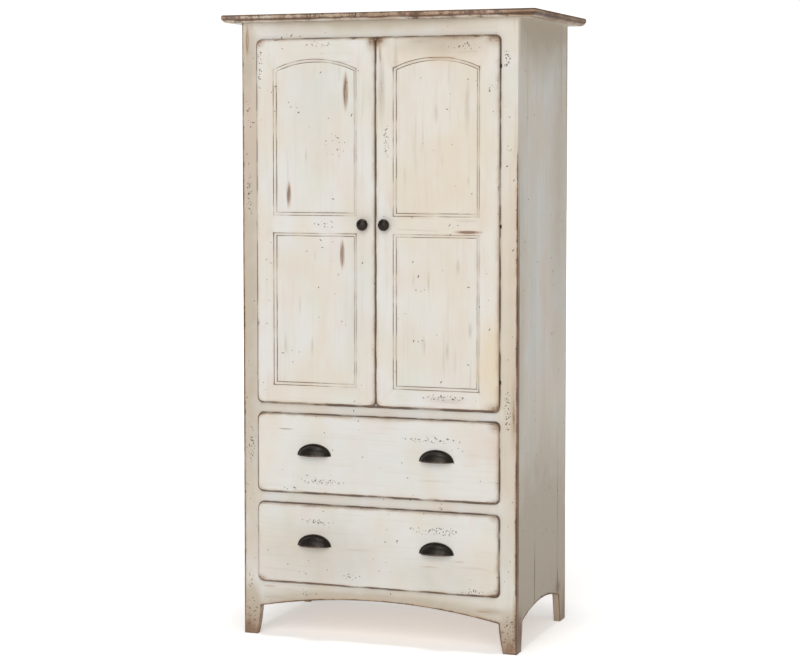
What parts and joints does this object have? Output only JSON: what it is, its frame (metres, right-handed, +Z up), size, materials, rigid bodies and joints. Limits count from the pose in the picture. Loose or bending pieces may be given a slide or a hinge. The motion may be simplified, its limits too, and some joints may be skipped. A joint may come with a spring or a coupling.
{
  "type": "armoire",
  "caption": "Cream distressed painted armoire: arched-panel doors above wide drawers with dark cup pulls, moulded crown board, arched apron and tapered feet.",
  "frame": {"origin": "Middle of the footprint of the whole object's box, on the floor.", "axes": "+Z up. The front, with the doors and drawers, faces -Y. +X is to the right seen from the front."},
  "size_m": [0.891, 0.5318, 1.701],
  "materials": {
    "painted_wood": "creamy off-white satin paint, brown glaze in the grooves, rubbed edges",
    "bare_wood": "clear-coated maple and poplar",
    "plywood": "clear-coated plywood",
    "bronze": "oil-rubbed bronze, satin",
    "hinge_metal": "dark antique plated steel"
  },
  "bodies": {
    "case": {"face_frame_stile_left": "painted_wood", "face_frame_stile_right": "painted_wood", "face_frame_rail_top": "painted_wood", "face_frame_rail_middle": "painted_wood", "face_frame_rail_lower": "painted_wood", "arched_apron": "painted_wood", "side_panel_left": "painted_wood", "side_panel_right": "painted_wood", "crown_board": "painted_wood", "back_panel": "plywood", "cabinet_floor": "bare_wood", "fixed_shelf": "bare_wood", "bottom_deck": "bare_wood", "upper_drawer_runner_left": "bare_wood", "upper_drawer_runner_right": "bare_wood", "lower_drawer_runner_left": "bare_wood", "lower_drawer_runner_right": "bare_wood", "left_upper_hinge_frame_leaf": "hinge_metal", "left_middle_hinge_frame_leaf": "hinge_metal", "left_lower_hinge_frame_leaf": "hinge_metal", "right_upper_hinge_frame_leaf": "hinge_metal", "right_middle_hinge_frame_leaf": "hinge_metal", "right_lower_hinge_frame_leaf": "hinge_metal"},
    "left_door": {"left_door_hinge_stile": "painted_wood", "left_door_meeting_stile": "painted_wood", "left_door_bottom_rail": "painted_wood", "left_door_middle_rail": "painted_wood", "left_door_top_rail": "painted_wood", "left_door_upper_panel": "painted_wood", "left_door_lower_panel": "painted_wood", "left_door_knob": "bronze", "left_upper_hinge_door_leaf": "hinge_metal", "left_middle_hinge_door_leaf": "hinge_metal", "left_lower_hinge_door_leaf": "hinge_metal"},
    "right_door": {"right_door_hinge_stile": "painted_wood", "right_door_meeting_stile": "painted_wood", "right_door_bottom_rail": "painted_wood", "right_door_middle_rail": "painted_wood", "right_door_top_rail": "painted_wood", "right_door_upper_panel": "painted_wood", "right_door_lower_panel": "painted_wood", "right_door_knob": "bronze", "right_upper_hinge_door_leaf": "hinge_metal", "right_middle_hinge_door_leaf": "hinge_metal", "right_lower_hinge_door_leaf": "hinge_metal"},
    "upper_drawer": {"upper_drawer_front": "painted_wood", "upper_drawer_side_left": "bare_wood", "upper_drawer_side_right": "bare_wood", "upper_drawer_back": "bare_wood", "upper_drawer_bottom": "plywood", "upper_drawer_pull_left": "bronze", "upper_drawer_pull_right": "bronze"},
    "lower_drawer": {"lower_drawer_front": "painted_wood", "lower_drawer_side_left": "bare_wood", "lower_drawer_side_right": "bare_wood", "lower_drawer_back": "bare_wood", "lower_drawer_bottom": "plywood", "lower_drawer_pull_left": "bronze", "lower_drawer_pull_right": "bronze"}
  },
  "joints": [
    {"name": "left_door_hinge", "type": "hinge", "parent": "case", "child": "left_door", "pos_m": [-0.3464, -0.22345, 1.135], "axis": [0, 0, -1], "range_deg": [0, 110]},
    {"name": "right_door_hinge", "type": "hinge", "parent": "case", "child": "right_door", "pos_m": [0.3464, -0.22345, 1.135], "axis": [0, 0, 1], "range_deg": [0, 110]},
    {"name": "upper_drawer_slide", "type": "slide", "parent": "case", "child": "upper_drawer", "axis": [0, -1, 0], "range_m": [0, 0.34]},
    {"name": "lower_drawer_slide", "type": "slide", "parent": "case", "child": "lower_drawer", "axis": [0, -1, 0], "range_m": [0, 0.34]}
  ]
}
